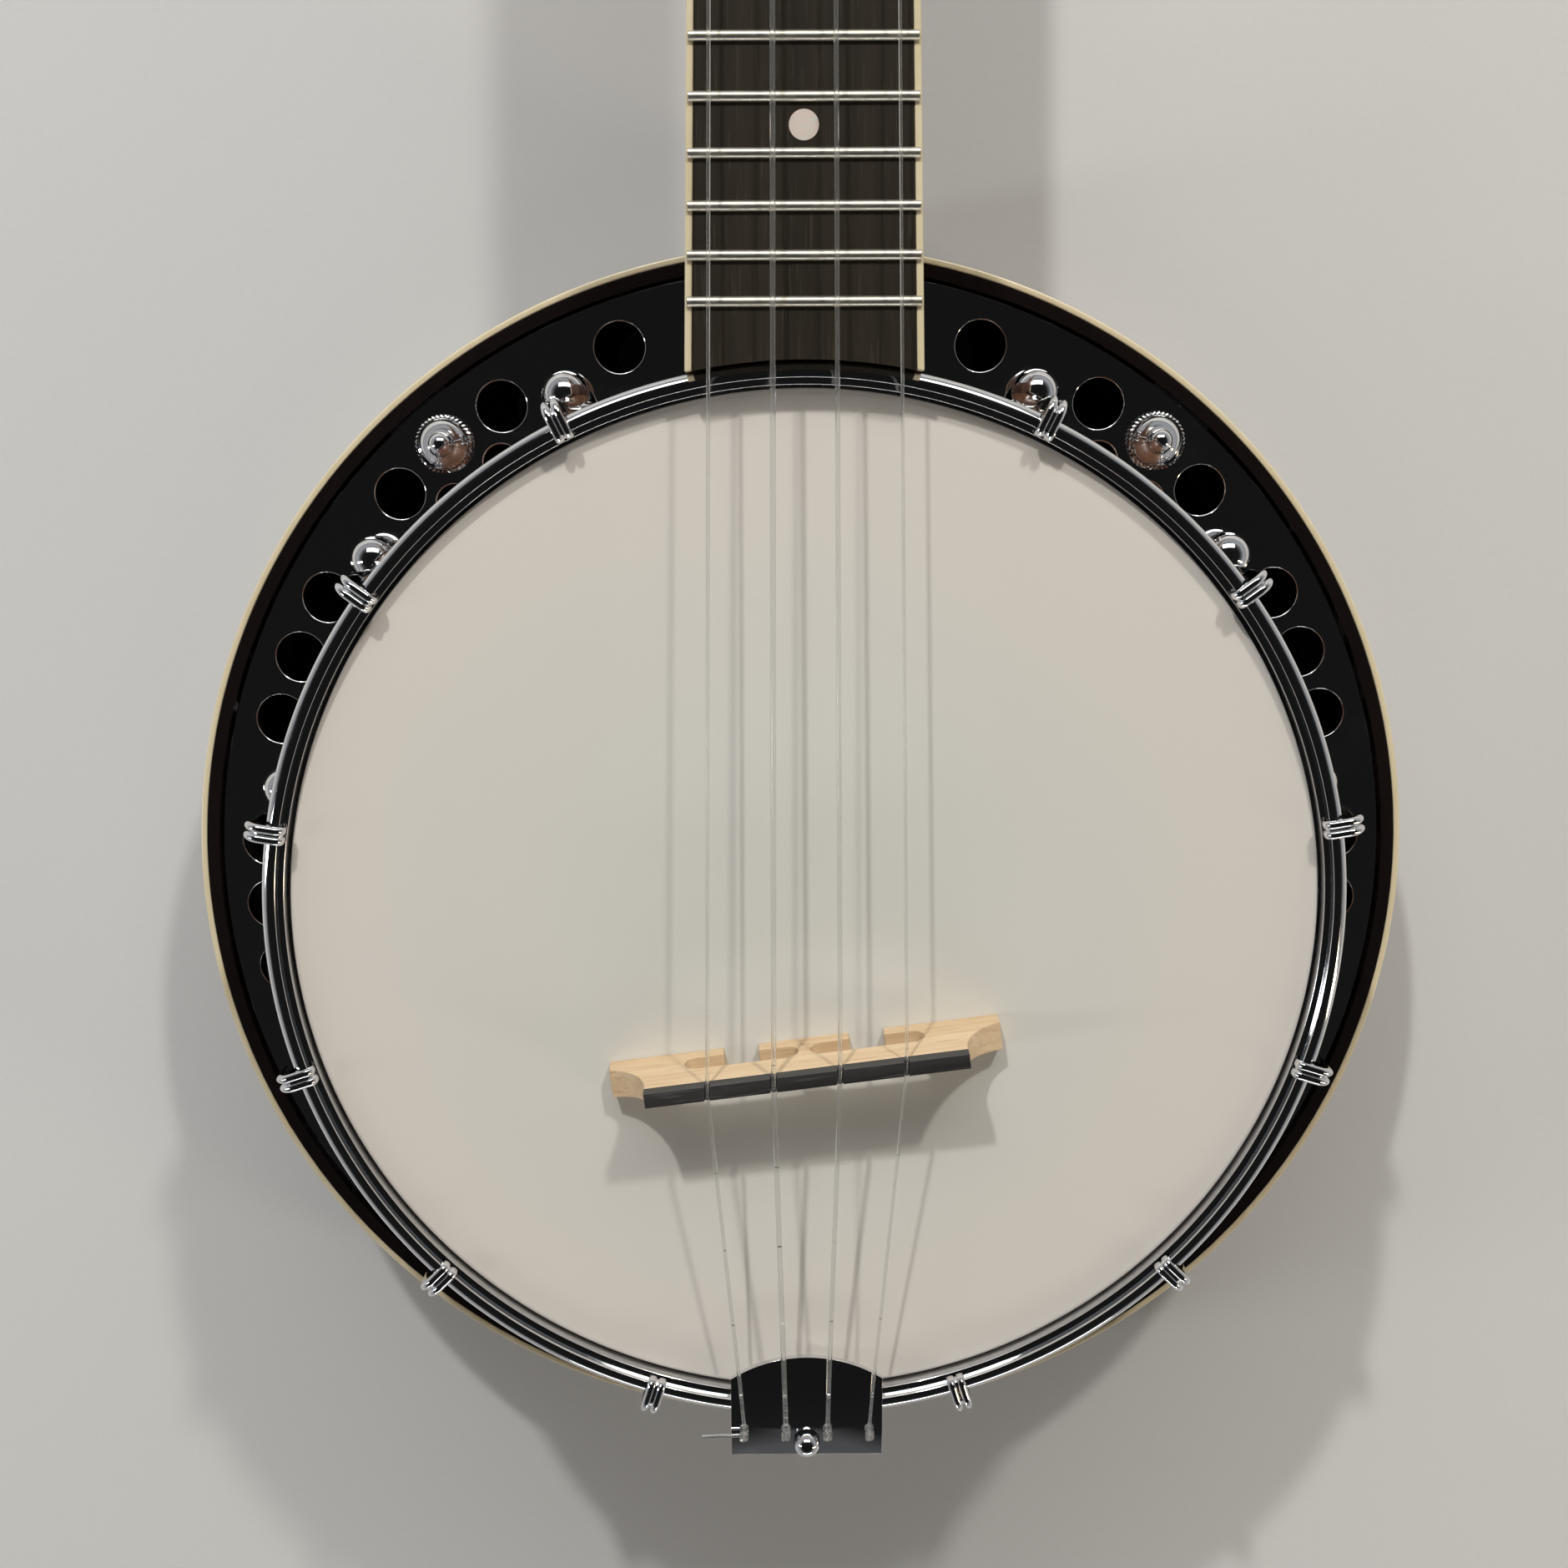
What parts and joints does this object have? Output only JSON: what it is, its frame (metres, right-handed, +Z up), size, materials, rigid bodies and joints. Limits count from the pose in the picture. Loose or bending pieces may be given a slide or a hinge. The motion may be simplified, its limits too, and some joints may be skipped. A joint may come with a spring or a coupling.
{
  "type": "banjo-ukulele",
  "caption": "Four-string banjo-ukulele with a round drum pot, hook-tensioned white head, chrome plate flange, black resonator, fretted neck and geared tuners.",
  "frame": {"origin": "centre of the flat back of the resonator, on the pot's axis", "axes": "+Z up out of the head, +Y from the pot along the neck to the headstock, +X to the right seen from above the head"},
  "size_m": [0.262, 0.6124, 0.1007],
  "materials": {
    "black_lacquer": "high-gloss black lacquer",
    "cream_binding": "glossy cream celluloid",
    "zinc_steel": "zinc plated",
    "chrome_plate": "mirror chrome plate",
    "mahogany": "satin stained mahogany",
    "brass_ring": "polished",
    "milky_film": "smooth milky film",
    "black_veneer": "gloss black",
    "dark_rosewood": "oiled, open grain",
    "nickel_wire": "polished nickel silver",
    "pearl": "pearloid",
    "bone": "polished bone",
    "maple": "bare sanded maple",
    "ebony": "polished ebony",
    "clear_nylon": "clear monofilament"
  },
  "bodies": {
    "instrument": {"resonator_back": "black_lacquer", "resonator_wall": "black_lacquer", "resonator_bindings": "cream_binding", "resonator_brackets": "zinc_steel", "bracket_screws": "zinc_steel", "flange": "chrome_plate", "wood_rim": "mahogany", "tone_ring": "brass_ring", "head_film": "milky_film", "flesh_hoop": "zinc_steel", "tension_hoop": "chrome_plate", "hooks": "chrome_plate", "hook_nuts": "chrome_plate", "bracket_shoes": "chrome_plate", "shoe_bolts": "zinc_steel", "coordinator_rod": "zinc_steel", "neck_lag_bolts": "zinc_steel", "lag_nut": "zinc_steel", "tail_bolt": "zinc_steel", "neck": "mahogany", "headstock_veneer": "black_veneer", "fretboard": "dark_rosewood", "fretboard_bindings": "cream_binding", "frets": "nickel_wire", "position_dots": "pearl", "string_nut": "bone", "tailpiece": "chrome_plate", "tail_bracket": "chrome_plate", "tension_bolt": "chrome_plate", "tail_nut": "chrome_plate", "bridge_body": "maple", "bridge_cap": "ebony", "string_1": "clear_nylon", "string_2": "clear_nylon", "string_3": "clear_nylon", "string_4": "clear_nylon", "tuner_housings": "chrome_plate", "tuner_base_plates": "chrome_plate", "tuner_bushings": "chrome_plate", "tuner_screws": "chrome_plate"},
    "thumbscrew_1": {"thumbscrew_1": "chrome_plate"},
    "thumbscrew_2": {"thumbscrew_2": "chrome_plate"},
    "thumbscrew_3": {"thumbscrew_3": "chrome_plate"},
    "thumbscrew_4": {"thumbscrew_4": "chrome_plate"},
    "tuner_1_worm": {"worm_shaft_1": "chrome_plate", "button_1": "pearl"},
    "tuner_1_post": {"gear_post_1": "chrome_plate", "winding_1": "clear_nylon"},
    "tuner_2_worm": {"worm_shaft_2": "chrome_plate", "button_2": "pearl"},
    "tuner_2_post": {"gear_post_2": "chrome_plate", "winding_2": "clear_nylon"},
    "tuner_3_worm": {"worm_shaft_3": "chrome_plate", "button_3": "pearl"},
    "tuner_3_post": {"gear_post_3": "chrome_plate", "winding_3": "clear_nylon"},
    "tuner_4_worm": {"worm_shaft_4": "chrome_plate", "button_4": "pearl"},
    "tuner_4_post": {"gear_post_4": "chrome_plate", "winding_4": "clear_nylon"}
  },
  "joints": [
    {"name": "thumbscrew_1_turn", "type": "hinge", "parent": "instrument", "child": "thumbscrew_1", "pos_m": [-0.07458, 0.0908, 0.041], "axis": [0, 0, 1], "continuous": true},
    {"name": "thumbscrew_2_turn", "type": "hinge", "parent": "instrument", "child": "thumbscrew_2", "pos_m": [-0.10008, -0.06157, 0.041], "axis": [0, 0, 1], "continuous": true},
    {"name": "thumbscrew_3_turn", "type": "hinge", "parent": "instrument", "child": "thumbscrew_3", "pos_m": [0.07458, 0.0908, 0.041], "axis": [0, 0, 1], "continuous": true},
    {"name": "thumbscrew_4_turn", "type": "hinge", "parent": "instrument", "child": "thumbscrew_4", "pos_m": [0.10008, -0.06157, 0.041], "axis": [0, 0, 1], "continuous": true},
    {"name": "tuner_1_button_turn", "type": "hinge", "parent": "instrument", "child": "tuner_1_worm", "pos_m": [-0.017, 0.40856, 0.06313], "axis": [-1, 0, 0], "continuous": true},
    {"name": "tuner_1_post_turn", "type": "hinge", "parent": "instrument", "child": "tuner_1_post", "pos_m": [-0.017, 0.40461, 0.0816], "axis": [0, 0.1736, 0.9848], "continuous": true},
    {"name": "tuner_2_button_turn", "type": "hinge", "parent": "instrument", "child": "tuner_2_worm", "pos_m": [-0.017, 0.44598, 0.05653], "axis": [-1, 0, 0], "continuous": true},
    {"name": "tuner_2_post_turn", "type": "hinge", "parent": "instrument", "child": "tuner_2_post", "pos_m": [-0.017, 0.44203, 0.075], "axis": [0, 0.1736, 0.9848], "continuous": true},
    {"name": "tuner_3_button_turn", "type": "hinge", "parent": "instrument", "child": "tuner_3_worm", "pos_m": [0.017, 0.44598, 0.05653], "axis": [1, 0, 0], "continuous": true},
    {"name": "tuner_3_post_turn", "type": "hinge", "parent": "instrument", "child": "tuner_3_post", "pos_m": [0.017, 0.44203, 0.075], "axis": [0, 0.1736, 0.9848], "continuous": true},
    {"name": "tuner_4_button_turn", "type": "hinge", "parent": "instrument", "child": "tuner_4_worm", "pos_m": [0.017, 0.40856, 0.06313], "axis": [1, 0, 0], "continuous": true},
    {"name": "tuner_4_post_turn", "type": "hinge", "parent": "instrument", "child": "tuner_4_post", "pos_m": [0.017, 0.40461, 0.0816], "axis": [0, 0.1736, 0.9848], "continuous": true}
  ],
  "couplings": [
    {"joint": "tuner_1_post_turn", "follows": "tuner_1_button_turn", "ratio": -0.071429},
    {"joint": "tuner_2_post_turn", "follows": "tuner_2_button_turn", "ratio": -0.071429},
    {"joint": "tuner_3_post_turn", "follows": "tuner_3_button_turn", "ratio": 0.071429},
    {"joint": "tuner_4_post_turn", "follows": "tuner_4_button_turn", "ratio": 0.071429}
  ]
}
